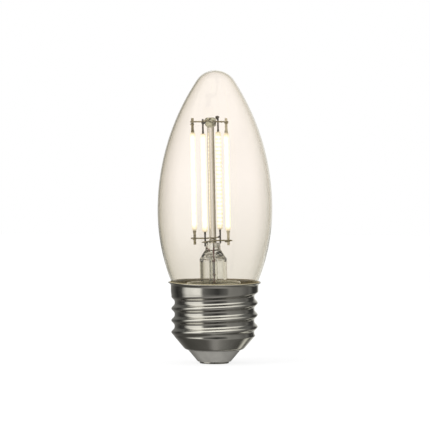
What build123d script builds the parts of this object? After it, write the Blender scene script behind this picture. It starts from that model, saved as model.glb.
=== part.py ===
from build123d import *

import math
import os

# A clear candle lamp: four glowing strips on a glass stem, in a glass envelope, on a 26 mm screw cap.
# Sizes are in millimetres and angles in degrees. Heights are measured from the end contact's flat face.

# Glass envelope: one arc below the widest point, one above it and a round nose
overall_height = 89.3
bulb_radius = 17.45
widest_height = 46.9
nose_radius = 6.8
glass_wall = 0.7
neck_run = 1.7
mouth_clearance = 0.37

# Stem: a funnel and tube of glass, pressed flat at the top around the lead wires
stem_lean = 1.4
stem_offset = -0.2
rim_thickness = 0.7
funnel_height = 4.0
funnel_clearance = 0.7
funnel_trim = 1.0
tube_wall = 0.8
tube_radius = 4.15
tube_length = 7.4
shoulder_height = 2.9
press_height = 2.0
press_long_half = 2.75
press_short_half = 2.2
press_taper = 3.0
exhaust_radius = 1.3
exhaust_bore = 0.8
exhaust_length = 18.2
exhaust_hole_radius = 0.6
exhaust_hole_rise = 1.2

# Centre post with the button that holds the top wires
post_radius = 1.1
button_radius = 1.75
button_height = 2.9
button_round = 0.9
button_rise = 1.7

# Wires
wire_radius = 0.225
lead_offset = 1.8
lead_shift = -0.55
lead_joint_depth = 1.2
bead_depth = 4.1
bead_radius = 0.42
cross_rise = {"front": 0.7, "back": 1.3}
cross_bend = 1.2
cross_overhang = 0.7
top_wire_rise = {"low": 1.6, "high": 2.15}
top_overhang = 0.15
weld_clearance = 0.02
lead_clearance = 0.05

# Glowing strips and their metal tabs
ring_radius = 5.6
ring_shift = 0.4
ring_turn = -20.0
strip_rise = 3.7
strip_nose_gap = 19.0
strip_width = 1.6
strip_depth = 1.45
strip_round = 0.6
strip_end_bevel = 0.4
tab_length = 4.4
tab_width = 0.75
tab_thickness = 0.3
tab_head_width = 1.15
tab_head_length = 0.9

# Screw cap: drawn sheet with a rolled thread
cap_sheet = 0.3
cap_bottom = 4.1
cap_cone_angle = 40.0
cap_curl = 1.4
thread_bottom = 9.3
thread_pitch = 3.629
thread_crest_radius = 13.15
thread_depth = 1.05
thread_crest_width = 0.7
thread_floor_width = 1.0
groove_top = 20.3
groove_turns = 4
runout_turn = 0.3
runout_lift = 0.2
skirt_rise = 0.17
skirt_bottom = 22.0
skirt_step = 0.25
lip_bottom = 23.9
lip_flare = 0.73
cap_top = 24.8
cement_top = 24.5

# Insulator and end contact
contact_inset = 0.55
contact_thickness = 0.6
contact_bevel = 0.2
shank_radius = 1.25
shank_top = 6.2
shank_clearance = 0.05
insulator_ledge = 0.8
insulator_top = 7.8
insulator_rim_width = 1.9
insulator_floor = 3.3
insulator_floor_step = 0.55
boss_radius = 2.6
boss_top = 5.4
cap_clearance = 0.1

# Driver board and what it carries; each place is a share of the board's radius
board_gap = 1.2
board_thickness = 1.0
part_clearance = 0.02
capacitor_radius = 3.15
capacitor_height = 8.5
capacitor_place = (0.11, 0.59)
rectifier_size = (4.7, 3.9, 2.4)
rectifier_place = (-0.53, -0.43)
chip_size = (4.9, 3.9, 1.5)
chip_place = (0.51, -0.45)
resistor_size = (2.0, 1.25, 0.5)
resistor_place = (0.0, -0.79)
fuse_radius = 1.2
fuse_length = 6.0
fuse_place = (-0.65, 0.3)
pin_size = (0.7, 0.7, 0.25)
body_bevel = 0.3
supply_wire_radius = 0.25
neutral_bend = 1.0
neutral_edge = 1.0
neutral_run = 2.5

os.makedirs("parts", exist_ok=True)


def save(piece, name):
    """Label a finished piece and write it as one file."""
    piece.part.label = name
    export_step(piece.part, f"parts/{name}.step")


def polar(radius, azimuth):
    """A point at a radius and an azimuth about an axis."""
    return radius * math.cos(math.radians(azimuth)), radius * math.sin(math.radians(azimuth))


# Radii of the cap, from its thread's crests, and of what sits in it
thread_root_radius = thread_crest_radius - thread_depth
skirt_radius = thread_crest_radius + skirt_rise
lip_radius = skirt_radius + lip_flare
cap_bore = thread_root_radius - cap_sheet
cone_slope = math.tan(math.radians(cap_cone_angle))
cap_foot_radius = thread_crest_radius - (thread_bottom - cap_bottom) * cone_slope
insulator_neck = cap_foot_radius - insulator_ledge
insulator_foot_radius = insulator_neck - (cap_bottom - contact_thickness) * cone_slope
board_radius = cap_bore - board_gap
board_top = insulator_top + board_thickness

# Outline of the glass: its foot arc passes the mouth of the cap, its flank arc touches the nose
neck_height = skirt_bottom - neck_run
lip_slope = (lip_radius - skirt_radius) / (cap_top - lip_bottom)
lip_start = lip_bottom + cap_sheet * math.tan(math.atan(lip_slope) / 2)
skirt_bore = skirt_radius - cap_sheet
lip_bore = skirt_bore + (cement_top - lip_start) * lip_slope
mouth_step = bulb_radius - lip_bore + mouth_clearance
shoulder_arc = (mouth_step**2 + (widest_height - cement_top) ** 2) / (2 * mouth_step)
shoulder_centre = bulb_radius - shoulder_arc
nose_height = overall_height - nose_radius
nose_climb = nose_height - widest_height
flank_arc = (bulb_radius**2 + nose_climb**2 - nose_radius**2) / (2 * (bulb_radius - nose_radius))
flank_centre = bulb_radius - flank_arc


def glass_radius(height, inset=0.0):
    """Radius of the envelope below its widest point, moved inwards by an inset."""
    return shoulder_centre + math.sqrt((shoulder_arc - inset) ** 2 - (widest_height - height) ** 2)


def nose_joint(inset):
    """Where the flank's arc runs into the nose."""
    reach = math.hypot(flank_centre, nose_climb)
    radius = nose_radius - inset
    return -flank_centre / reach * radius, nose_height + nose_climb / reach * radius


# Envelope
with BuildPart() as glass_envelope:
    with BuildSketch(Plane.XZ):
        with BuildLine():
            outer = (bulb_radius, widest_height)
            RadiusArc((glass_radius(neck_height), neck_height), outer, -shoulder_arc)
            RadiusArc(outer, nose_joint(0), -flank_arc)
            RadiusArc(nose_joint(0), (0, overall_height), -nose_radius)
            Line((0, overall_height), (0, overall_height - glass_wall))
            inner = (bulb_radius - glass_wall, widest_height)
            RadiusArc((0, overall_height - glass_wall), nose_joint(glass_wall), nose_radius - glass_wall)
            RadiusArc(nose_joint(glass_wall), inner, flank_arc - glass_wall)
            neck_inside = (glass_radius(neck_height, glass_wall), neck_height)
            RadiusArc(inner, neck_inside, shoulder_arc - glass_wall)
            Line(neck_inside, (glass_radius(neck_height), neck_height))
        make_face()
    revolve(axis=Axis.Z)
save(glass_envelope, "glass_envelope")

# Leaning frame of the stem, turned about the middle of its seal at the neck; heights run along the lean
lean_x = -math.sin(math.radians(stem_lean))
lean_z = math.cos(math.radians(stem_lean))
stem_dir = Vector(lean_x, 0, lean_z)
stem_foot = Vector(stem_offset, 0, neck_height) - stem_dir * neck_height
stem = Plane(stem_foot, x_dir=(lean_z, 0, -lean_x), z_dir=stem_dir)
stem_side = Plane(stem.origin, x_dir=stem.x_dir, z_dir=-stem.y_dir)
stem_axis = Axis(stem.origin, stem_dir)
tube_bottom = neck_height + funnel_height
tube_top = tube_bottom + tube_length
press_bottom = tube_top + shoulder_height
press_top = press_bottom + press_height
strip_bottom = press_top + strip_rise
strip_top = overall_height - strip_nose_gap
button_bottom = strip_top + button_rise
ring_names = ("right", "back", "left", "front")
ring_azimuths = {name: ring_turn + 90 * index for index, name in enumerate(ring_names)}
ring_radii = {name: ring_radius for name in ring_names}
ring_radii["right"] = ring_radius - ring_shift
ring_radii["left"] = ring_radius + ring_shift
top_pairs = {"low": ("right", "left"), "high": ("back", "front")}
cross_pairs = {"front": ("front", "right"), "back": ("back", "left")}
lead_azimuths = {"front": ring_turn - 45, "back": ring_turn + 135}


def beside(radius, shift, azimuth):
    """A point at a radius and an azimuth, moved sideways by a shift."""
    radial = polar(radius, azimuth)
    sideways = polar(shift, azimuth + 90)
    return radial[0] + sideways[0], radial[1] + sideways[1]


def on_stem(place, height, azimuth=0.0):
    """A plane across the stem at a place, turned by an azimuth."""
    return Plane(stem.location * Location((*place, height), (0, 0, azimuth)))


# Stem
funnel_foot = glass_radius(neck_height, glass_wall) - funnel_clearance
funnel_slope = (funnel_foot - tube_radius) / (tube_bottom - neck_height)
funnel_angle = math.atan(funnel_slope)
funnel_low = neck_height - rim_thickness - funnel_trim
funnel_low_radius = funnel_foot + (neck_height - funnel_low) * funnel_slope
press_azimuth = lead_azimuths["back"]

with BuildPart() as stem_flare:
    with BuildSketch(stem_side):
        with BuildLine():
            Polyline(
                (tube_radius, tube_top),
                (tube_radius, tube_bottom),
                (funnel_low_radius, funnel_low),
                (funnel_low_radius - tube_wall / math.cos(funnel_angle), funnel_low),
                (tube_radius - tube_wall, tube_bottom - tube_wall * math.tan(funnel_angle / 2)),
                (tube_radius - tube_wall, tube_top),
                close=True,
            )
        make_face()
    revolve(axis=stem_axis)
    split(bisect_by=Plane.XY.offset(neck_height - rim_thickness), keep=Keep.TOP)
    with BuildSketch(Plane.XY.offset(neck_height - rim_thickness)):
        Circle(glass_radius(neck_height))
        Circle(funnel_foot - funnel_clearance, mode=Mode.SUBTRACT)
    extrude(amount=rim_thickness)
    with BuildSketch(on_stem((0, 0), tube_top, press_azimuth)):
        Circle(tube_radius)
    with BuildSketch(on_stem((0, 0), (tube_top + press_bottom) / 2, press_azimuth)):
        Ellipse((tube_radius + press_long_half) / 2, (tube_radius + press_short_half) / 2)
    with BuildSketch(on_stem((0, 0), press_bottom, press_azimuth)):
        Ellipse(press_long_half, press_short_half)
    loft()
    with BuildSketch(on_stem((0, 0), press_bottom, press_azimuth)):
        Ellipse(press_long_half, press_short_half)
    extrude(amount=press_top - press_bottom, taper=press_taper)
    with BuildSketch(stem.offset(tube_top)):
        for azimuth in lead_azimuths.values():
            with Locations(beside(lead_offset, lead_shift, azimuth)):
                Circle(wire_radius)
    extrude(amount=press_top - tube_top, mode=Mode.SUBTRACT)
    with BuildSketch(stem.offset(tube_top)):
        Circle(exhaust_bore)
    extrude(amount=exhaust_hole_rise, mode=Mode.SUBTRACT)
    side = on_stem((0, 0), tube_top + exhaust_hole_rise, press_azimuth + 90)
    with BuildSketch(Plane(side.origin, z_dir=side.x_dir)):
        Circle(exhaust_hole_radius)
    extrude(amount=tube_radius, mode=Mode.SUBTRACT)
save(stem_flare, "stem_flare")

# Exhaust tube, sealed off below
exhaust_end = tube_top - exhaust_length
with BuildPart() as exhaust_tube:
    with BuildSketch(stem_side):
        with BuildLine():
            round_start = exhaust_end + exhaust_radius
            bore_end = round_start + exhaust_radius
            Polyline((exhaust_bore, tube_top), (exhaust_radius, tube_top), (exhaust_radius, round_start))
            RadiusArc((exhaust_radius, round_start), (0, exhaust_end), exhaust_radius)
            Polyline((0, exhaust_end), (0, bore_end), (exhaust_bore, bore_end), (exhaust_bore, tube_top))
        make_face()
    revolve(axis=stem_axis)
save(exhaust_tube, "exhaust_tube")

# Two straight top wires cross inside the button, each joining two strips that face each other
top_wires = []
for level, (near_strip, far_strip) in top_pairs.items():
    near = ring_radii[near_strip] + tab_width / 2 + top_overhang
    far = ring_radii[far_strip] + tab_width / 2 + top_overhang
    azimuth = ring_azimuths[near_strip]
    start = on_stem(polar(-far, azimuth), button_bottom + top_wire_rise[level], azimuth)
    with BuildPart() as top_wire:
        with BuildSketch(Plane(start.origin, z_dir=start.x_dir)):
            Circle(wire_radius)
        extrude(amount=near + far)
    save(top_wire, f"top_wire_{level}")
    top_wires.append(top_wire.part)

# Post and button, drawn from one glass rod
with BuildPart() as centre_post:
    with BuildSketch(stem_side) as post_outline:
        with Locations((0, button_bottom)):
            Rectangle(button_radius, button_height, align=Align.MIN)
        fillet(post_outline.vertices().group_by(Axis.X)[-1], button_round)
        with Locations((0, press_top)):
            Rectangle(post_radius, button_bottom - press_top + button_round, align=Align.MIN)
    revolve(axis=stem_axis)
    add(top_wires, mode=Mode.SUBTRACT)
save(centre_post, "centre_post")

# Cross wires below: each runs out to two strips and is bent over the top of its lead
corner = lead_offset / math.cos(math.radians(45))
overhang = tab_width / 2 + cross_overhang
joint = press_top - lead_joint_depth
bead = tube_top - bead_depth
for name, azimuth in lead_azimuths.items():
    height = press_top + cross_rise[name]
    first, last = cross_pairs[name]
    route = (
        (*polar(ring_radii[first] + overhang, ring_azimuths[first]), height),
        (*polar(corner, ring_azimuths[first]), height),
        (*polar(corner, ring_azimuths[last]), height),
        (*polar(ring_radii[last] + overhang, ring_azimuths[last]), height),
    )
    with BuildPart() as cross_wire:
        with BuildLine(stem) as path:
            FilletPolyline(*route, radius=cross_bend)
        with BuildSketch(Plane(path.line @ 0, z_dir=path.line % 0)):
            Circle(wire_radius)
        sweep(path=path.line)
    save(cross_wire, f"cross_wire_{name}")

    # Each lead is three wires end to end: inner lead, red seal wire in the glass, outer lead with its bead
    place = beside(lead_offset, lead_shift, azimuth)
    with BuildPart() as inner_lead:
        with BuildSketch(on_stem(place, joint)):
            Circle(wire_radius)
        extrude(amount=height - wire_radius - joint)
    save(inner_lead, f"inner_lead_{name}")
    with BuildPart() as seal_wire:
        with BuildSketch(on_stem(place, bead)):
            Circle(wire_radius)
        extrude(amount=joint - bead)
    save(seal_wire, f"seal_wire_{name}")
    with BuildPart() as outer_lead:
        with BuildSketch(on_stem(place, board_top + lead_clearance)):
            Circle(wire_radius)
        extrude(amount=bead - bead_radius - board_top - lead_clearance)
        with Locations(on_stem(place, bead - bead_radius).location):
            Sphere(bead_radius)
    save(outer_lead, f"outer_lead_{name}")

# Glowing strips, each welded by its tabs to the side of a wire above and below
strip_side = tab_thickness / 2 + wire_radius + weld_clearance
for name, azimuth in ring_azimuths.items():
    place = beside(ring_radii[name], -strip_side, azimuth)
    with BuildPart() as strip:
        with BuildSketch(on_stem(place, strip_bottom, azimuth)):
            RectangleRounded(strip_depth, strip_width, strip_round)
        extrude(amount=strip_top - strip_bottom)
        ends = strip.edges().group_by(stem_axis)
        chamfer(ends[0] + ends[-1], strip_end_bevel)
    save(strip, f"strip_{name}")

    foot = on_stem(place, 0, azimuth)
    tab_face = Plane(foot.origin, x_dir=foot.x_dir, z_dir=-foot.y_dir)
    for end, start, way in (("top", strip_top, 1), ("bottom", strip_bottom, -1)):
        head_end = start + way * tab_head_length
        tip = start + way * tab_length
        with BuildPart() as tab:
            with BuildSketch(tab_face):
                with BuildLine():
                    Polyline(
                        (tab_head_width / 2, start),
                        (tab_width / 2, head_end),
                        (tab_width / 2, tip),
                        (-tab_width / 2, tip),
                        (-tab_width / 2, head_end),
                        (-tab_head_width / 2, start),
                        close=True,
                    )
                make_face()
            extrude(amount=tab_thickness / 2, both=True)
        save(tab, f"tab_{end}_{name}")

# Screw cap
foot_turn = math.tan(math.radians(90 - cap_cone_angle) / 2)
flank_run = (thread_pitch - thread_crest_width - thread_floor_width) / 2
flank_turn = math.tan(math.atan2(thread_depth, flank_run) / 2)


def foot_corner(inset):
    """Corner between the cap's cone and its turned-in bottom, moved inwards by an inset."""
    return cap_foot_radius - inset * foot_turn, cap_bottom + inset


def cone_height(radius, foot):
    """Height at which a cone that starts at a foot corner reaches a radius."""
    return foot[1] + (radius - foot[0]) / cone_slope


# The groove climbs in full turns to the right and then runs out of the sheet
groove_rise = groove_turns * thread_pitch
runout_rise = runout_turn * thread_pitch
runout_angle = math.atan((thread_depth + runout_lift) / runout_rise)
crest_half = thread_floor_width / 2 + flank_run
with BuildPart() as thread_groove:
    for start, height, cone in (
        (groove_top - groove_rise, groove_rise, 0),
        (groove_top, runout_rise, runout_angle),
    ):
        lead = thread_pitch / math.cos(cone)
        with BuildLine() as path:
            Helix(lead, height, thread_root_radius, (0, 0, start), cone_angle=math.degrees(cone))
        with BuildSketch(Plane.XZ):
            with BuildLine():
                Polyline(
                    (thread_root_radius, start - thread_floor_width / 2),
                    (thread_crest_radius, start - crest_half),
                    (thread_crest_radius + thread_depth, start - crest_half),
                    (thread_crest_radius + thread_depth, start + crest_half),
                    (thread_crest_radius, start + crest_half),
                    (thread_root_radius, start + thread_floor_width / 2),
                    close=True,
                )
            make_face()
        sweep(path=path.line, is_frenet=True)

outer_foot = foot_corner(0)
inner_foot = foot_corner(cap_sheet)
bore_top = groove_top + thread_floor_width / 2 + cap_sheet * flank_turn
skirt_bore_bottom = bore_top + (skirt_bore - cap_bore) * flank_run / thread_depth
with BuildPart() as cap_shell:
    with BuildSketch(Plane.XZ) as outside:
        with BuildLine():
            Polyline(
                (0, cap_bottom),
                outer_foot,
                (thread_crest_radius, cone_height(thread_crest_radius, outer_foot)),
                (thread_crest_radius, skirt_bottom - skirt_step),
                (skirt_radius, skirt_bottom),
                (skirt_radius, lip_bottom),
                (lip_radius, cap_top),
                (0, cap_top),
                close=True,
            )
        make_face()
        fillet(outside.vertices().sort_by_distance(outer_foot)[0], cap_curl)
    revolve(axis=Axis.Z)
    add(thread_groove.part, mode=Mode.SUBTRACT)
    with BuildSketch(Plane.XZ) as inside:
        with BuildLine():
            Polyline(
                (0, inner_foot[1]),
                inner_foot,
                (cap_bore, cone_height(cap_bore, inner_foot)),
                (cap_bore, bore_top),
                (skirt_bore, skirt_bore_bottom),
                (skirt_bore, lip_start),
                (skirt_bore + (cap_top - lip_start) * lip_slope, cap_top),
                (0, cap_top),
                close=True,
            )
        make_face()
        fillet(inside.vertices().sort_by_distance(inner_foot)[0], cap_curl - cap_sheet)
    revolve(axis=Axis.Z, mode=Mode.SUBTRACT)
    with BuildSketch(Plane.XY.offset(cap_bottom)):
        Circle(insulator_neck + cap_clearance)
    extrude(amount=cap_sheet, mode=Mode.SUBTRACT)
save(cap_shell, "cap_shell")

# Cement between the glass neck and the cap's skirt and lip
with BuildPart() as neck_cement:
    with BuildSketch(Plane.XZ):
        with BuildLine():
            low_glass = (glass_radius(skirt_bore_bottom), skirt_bore_bottom)
            high_glass = (glass_radius(cement_top), cement_top)
            RadiusArc(low_glass, high_glass, -shoulder_arc)
            Polyline(
                high_glass,
                (lip_bore, cement_top),
                (skirt_bore, lip_start),
                (skirt_bore, skirt_bore_bottom),
                low_glass,
            )
        make_face()
    revolve(axis=Axis.Z)
save(neck_cement, "neck_cement")

# End contact: a flat-headed rivet
with BuildPart() as end_contact:
    with BuildSketch(Plane.XY):
        Circle(insulator_foot_radius - contact_inset)
    extrude(amount=contact_thickness)
    chamfer(end_contact.edges().sort_by(Axis.Z)[0], contact_bevel)
    with BuildSketch(Plane.XY.offset(contact_thickness)):
        Circle(shank_radius)
    extrude(amount=shank_top - contact_thickness)
save(end_contact, "end_contact")

# Insulator: a moulded cup whose flange sits in the cap's cone
flange_foot = foot_corner(cap_sheet + cap_clearance)
flange_radius = flange_foot[0] + (insulator_top - flange_foot[1]) * cone_slope
flange_curl = cap_curl - cap_sheet - cap_clearance
hole_radius = shank_radius + shank_clearance
with BuildPart() as cap_insulator:
    with BuildSketch(Plane.XZ) as cup:
        with BuildLine():
            Polyline(
                (hole_radius, contact_thickness),
                (insulator_foot_radius, contact_thickness),
                (insulator_neck, cap_bottom),
                (insulator_neck, flange_foot[1]),
                flange_foot,
                (flange_radius, insulator_top),
                (flange_radius - insulator_rim_width, insulator_top),
                (insulator_foot_radius + insulator_floor_step, insulator_floor),
                (boss_radius, insulator_floor),
                (boss_radius, boss_top),
                (hole_radius, boss_top),
                close=True,
            )
        make_face()
        fillet(cup.vertices().sort_by_distance(flange_foot)[0], flange_curl)
    revolve(axis=Axis.Z)
save(cap_insulator, "cap_insulator")

def on_board(place, height=0.0):
    """A place on the driver board, at a height above its upper face."""
    return board_radius * place[0], board_radius * place[1], board_top + height


# Driver board, resting on the insulator's rim
with BuildPart() as driver_board:
    with BuildSketch(Plane.XY.offset(insulator_top)):
        Circle(board_radius)
    extrude(amount=board_thickness)
save(driver_board, "driver_board")

# Live wire, from the board's underside down to the contact's shank
with BuildPart() as live_wire:
    with BuildSketch(Plane.XY.offset(shank_top)):
        Circle(supply_wire_radius)
    extrude(amount=insulator_top - shank_top)
save(live_wire, "live_wire")

# Neutral wire, from the board out to the cap's bore
neutral_foot = -(board_radius - neutral_edge)
neutral_end = -(cap_bore - supply_wire_radius - part_clearance)
with BuildPart() as neutral_wire:
    with BuildLine() as path:
        FilletPolyline(
            (neutral_foot, 0, board_top),
            (neutral_foot, 0, board_top + neutral_run),
            (neutral_end, 0, board_top + 2 * neutral_run),
            (neutral_end, 0, board_top + 3 * neutral_run),
            radius=neutral_bend,
        )
    with BuildSketch(Plane(path.line @ 0, z_dir=path.line % 0)):
        Circle(supply_wire_radius)
    sweep(path=path.line)
save(neutral_wire, "neutral_wire")

# Storage capacitor: an upright can
with BuildPart() as storage_capacitor:
    with BuildSketch(Plane(on_board(capacitor_place))):
        Circle(capacitor_radius)
    extrude(amount=capacitor_height)
    chamfer(storage_capacitor.edges().group_by(Axis.Z)[-1], body_bevel)
save(storage_capacitor, "storage_capacitor")

# Rectifier and driver chip: moulded bodies on bent pins
for name, size, place in (
    ("bridge_rectifier", rectifier_size, rectifier_place),
    ("driver_chip", chip_size, chip_place),
):
    with BuildPart() as package:
        with BuildSketch(Plane(on_board(place, pin_size[2]))):
            Rectangle(size[0], size[1])
        extrude(amount=size[2] - pin_size[2])
        chamfer(package.edges().group_by(Axis.Z)[-1], body_bevel)
        with BuildSketch(Plane(on_board(place))):
            with GridLocations(size[0] / 2, size[1] + pin_size[1], 2, 2):
                Rectangle(pin_size[0], 2 * pin_size[1])
        extrude(amount=pin_size[2] + body_bevel)
    save(package, name)

# Sense resistor: a chip lying on its two ends
with BuildPart() as sense_resistor:
    with BuildSketch(Plane(on_board(resistor_place))):
        Rectangle(resistor_size[0], resistor_size[1])
    extrude(amount=resistor_size[2])
save(sense_resistor, "sense_resistor")

# Fusible resistor: a lacquered barrel lying on the board
with BuildPart() as fuse_resistor:
    with BuildSketch(Plane(on_board(fuse_place, fuse_radius), z_dir=(0, 1, 0))):
        Circle(fuse_radius)
    extrude(amount=fuse_length / 2, both=True)
save(fuse_resistor, "fuse_resistor")
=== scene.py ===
import math

import bpy
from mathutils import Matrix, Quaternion, Vector


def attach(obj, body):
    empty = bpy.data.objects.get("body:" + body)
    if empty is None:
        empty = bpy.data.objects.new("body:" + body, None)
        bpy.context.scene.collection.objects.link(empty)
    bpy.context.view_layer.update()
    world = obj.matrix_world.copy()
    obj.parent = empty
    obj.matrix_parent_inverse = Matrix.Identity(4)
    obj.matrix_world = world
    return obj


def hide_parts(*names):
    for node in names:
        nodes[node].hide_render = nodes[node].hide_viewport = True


MM = 0.001
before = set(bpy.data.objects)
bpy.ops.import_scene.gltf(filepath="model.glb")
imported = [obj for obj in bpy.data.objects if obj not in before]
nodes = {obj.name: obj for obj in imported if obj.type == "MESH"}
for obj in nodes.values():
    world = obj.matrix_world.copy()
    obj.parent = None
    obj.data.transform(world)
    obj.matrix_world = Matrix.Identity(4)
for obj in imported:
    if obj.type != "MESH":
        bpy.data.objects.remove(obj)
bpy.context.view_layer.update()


# Node helpers


def add_node(tree, kind, values=None, **settings):
    """A new node with its settings and the values of its input sockets."""
    node = tree.nodes.new(kind)
    for key, value in settings.items():
        setattr(node, key, value)
    for key, value in (values or {}).items():
        node.inputs[key].default_value = value
    return node


def link(tree, start, end):
    tree.links.new(start, end)


def feed(tree, socket, value):
    """Gives an input socket a number, an RGB tuple or what another socket puts out."""
    if isinstance(value, (int, float)):
        socket.default_value = value
    elif isinstance(value, tuple):
        socket.default_value = (*value, 1.0)
    else:
        link(tree, value, socket)


def new_material(name):
    """An empty node material, its tree and its output node."""
    made = bpy.data.materials.new(name)
    made.use_nodes = True
    made.node_tree.nodes.clear()
    out = made.node_tree.nodes.new("ShaderNodeOutputMaterial")
    return made, made.node_tree, out


def ramp_colour(tree, value, stops):
    """The colour at a value on a ramp with stops of (position, colour)."""
    node = tree.nodes.new("ShaderNodeValToRGB")
    elements = node.color_ramp.elements
    while len(elements) < len(stops):
        elements.new(0.5)
    for element, (position, colour) in zip(elements, stops):
        element.position = position
        element.color = (*colour, 1.0)
    link(tree, value, node.inputs[0])
    return node.outputs[0]


def math_node(tree, operation, first, second=None, third=None, clamp=False):
    """A math node fed by sockets or plain numbers. Returns its output."""
    node = add_node(tree, "ShaderNodeMath", operation=operation, use_clamp=clamp)
    for socket, value in zip(node.inputs, (first, second, third)):
        if value is not None:
            feed(tree, socket, value)
    return node.outputs[0]


def mix_colours(tree, factor, first, second):
    """Mix of two colours, each a socket or an RGB tuple, by a factor socket."""
    node = add_node(tree, "ShaderNodeMix", data_type="RGBA")
    link(tree, factor, node.inputs["Factor"])
    # A Mix node has its two colours at inputs 6 and 7, and the mixed colour at output 2
    feed(tree, node.inputs[6], first)
    feed(tree, node.inputs[7], second)
    return node.outputs[2]


def range_of(tree, value, low, high):
    """A value of 0 to 1 spread between two numbers."""
    node = add_node(tree, "ShaderNodeMapRange", {"To Min": low, "To Max": high})
    link(tree, value, node.inputs["Value"])
    return node.outputs[0]


def share_between(tree, value, start, end, interpolation="LINEAR"):
    """0 where a value is at the start or before it, 1 where it is at the end or past it."""
    node = add_node(tree, "ShaderNodeMapRange", interpolation_type=interpolation)
    link(tree, value, node.inputs["Value"])
    feed(tree, node.inputs["From Min"], start)
    feed(tree, node.inputs["From Max"], end)
    return node.outputs[0]


def object_place(tree):
    """The place on a piece, in the piece's own frame."""
    return tree.nodes.new("ShaderNodeTexCoord").outputs["Object"]


def object_height(tree):
    """The height of the place on a piece."""
    split = tree.nodes.new("ShaderNodeSeparateXYZ")
    link(tree, object_place(tree), split.inputs[0])
    return split.outputs["Z"]


# Shared effects: mottled tone, and a tint that sets in along the height

COLOUR = "NodeSocketColor"
NUMBER = "NodeSocketFloat"
MOTTLE_SPAN = (0.35, 0.65)
FINE_TO_BROAD = 7.0


def new_group(name, inputs, outputs):
    """A shader node group with named sockets, its input node and its output node."""
    group = bpy.data.node_groups.new(name, "ShaderNodeTree")
    for label, kind in inputs.items():
        group.interface.new_socket(name=label, in_out="INPUT", socket_type=kind)
    for label, kind in outputs.items():
        group.interface.new_socket(name=label, in_out="OUTPUT", socket_type=kind)
    return group, group.nodes.new("NodeGroupInput"), group.nodes.new("NodeGroupOutput")


def mottle_group():
    """Mottled tone between two colours, with a mask and a fine height for bump."""
    group, start, end = new_group(
        "mottled_tone",
        {"Dark": COLOUR, "Light": COLOUR, "Scale": NUMBER, "Stretch": NUMBER},
        {"Color": COLOUR, "Mask": NUMBER, "Height": NUMBER},
    )
    stretch = add_node(group, "ShaderNodeCombineXYZ", {"X": 1.0, "Y": 1.0})
    link(group, start.outputs["Stretch"], stretch.inputs["Z"])
    spread = add_node(group, "ShaderNodeVectorMath", operation="MULTIPLY")
    link(group, object_place(group), spread.inputs[0])
    link(group, stretch.outputs[0], spread.inputs[1])
    broad = add_node(group, "ShaderNodeTexNoise", {"Detail": 5.0, "Roughness": 0.6})
    link(group, spread.outputs[0], broad.inputs["Vector"])
    link(group, start.outputs["Scale"], broad.inputs["Scale"])
    fine = add_node(group, "ShaderNodeTexNoise", {"Detail": 3.0, "Roughness": 0.55})
    link(group, spread.outputs[0], fine.inputs["Vector"])
    fine_scale = math_node(group, "MULTIPLY", start.outputs["Scale"], FINE_TO_BROAD)
    link(group, fine_scale, fine.inputs["Scale"])
    mask = share_between(group, broad.outputs["Fac"], *MOTTLE_SPAN)
    colour = mix_colours(group, mask, start.outputs["Dark"], start.outputs["Light"])
    link(group, colour, end.inputs["Color"])
    link(group, mask, end.inputs["Mask"])
    link(group, fine.outputs["Fac"], end.inputs["Height"])
    return group


def height_tint_group():
    """A colour that gives way to a tint between two heights on a piece."""
    group, start, end = new_group(
        "height_tint",
        {"Color": COLOUR, "Tint": COLOUR, "Start": NUMBER, "End": NUMBER},
        {"Color": COLOUR},
    )
    share = share_between(group, object_height(group), start.outputs["Start"], start.outputs["End"])
    tinted = mix_colours(group, share, start.outputs["Color"], start.outputs["Tint"])
    link(group, tinted, end.inputs["Color"])
    return group


mottled_tone = mottle_group()
height_tint = height_tint_group()


def use_mottle(tree, dark, light, scale, stretch=1.0):
    """The mottled tone in a material, between its dark and light colour."""
    values = {"Dark": (*dark, 1), "Light": (*light, 1), "Scale": scale, "Stretch": stretch}
    return add_node(tree, "ShaderNodeGroup", values, node_tree=mottled_tone)


def use_height_tint(tree, colour, tint, start, end):
    """A colour socket with a tint that sets in between two heights in millimetres."""
    values = {"Tint": (*tint, 1), "Start": start * MM, "End": end * MM}
    node = add_node(tree, "ShaderNodeGroup", values, node_tree=height_tint)
    link(tree, colour, node.inputs["Color"])
    return node.outputs["Color"]


# Opaque materials

BUMP_DEPTH = 0.05 * MM
SEAL_END = 31.9
DARKER_FROM = 30.9


def worn_surface(name, dark, light, scale, metallic, rough, bump=0.0, edge=None):
    """An opaque surface with a mottled tone, an uneven sheen and a fine bump.

    An edge colour is painted shade, laid on where the surface is seen edge-on.
    """
    made, tree, out = new_material(name)
    tone = use_mottle(tree, dark, light, scale)
    shader = add_node(tree, "ShaderNodeBsdfPrincipled", {"Metallic": metallic})
    shade = tone.outputs["Color"]
    # Painted shade: the edge colour darkens the surface where it is seen edge-on
    if edge:
        facing = tree.nodes.new("ShaderNodeLayerWeight")
        shade = mix_colours(tree, facing.outputs["Facing"], shade, edge)
    link(tree, shade, shader.inputs["Base Color"])
    link(tree, range_of(tree, tone.outputs["Mask"], *rough), shader.inputs["Roughness"])
    if bump:
        relief = add_node(tree, "ShaderNodeBump", {"Strength": bump, "Distance": BUMP_DEPTH})
        link(tree, tone.outputs["Height"], relief.inputs["Height"])
        link(tree, relief.outputs[0], shader.inputs["Normal"])
    link(tree, shader.outputs[0], out.inputs["Surface"])
    return made


def sealed_wire(name, dark, light, below_seal_colour, scale, metallic, rough):
    """A copper-clad wire: red inside the pressed glass, darker below it."""
    made, tree, out = new_material(name)
    tone = use_mottle(tree, dark, light, scale)
    shade = use_height_tint(tree, tone.outputs["Color"], below_seal_colour, SEAL_END, DARKER_FROM)
    shader = add_node(tree, "ShaderNodeBsdfPrincipled", {"Metallic": metallic})
    link(tree, shade, shader.inputs["Base Color"])
    link(tree, range_of(tree, tone.outputs["Mask"], *rough), shader.inputs["Roughness"])
    link(tree, shader.outputs[0], out.inputs["Surface"])
    return made


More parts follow.
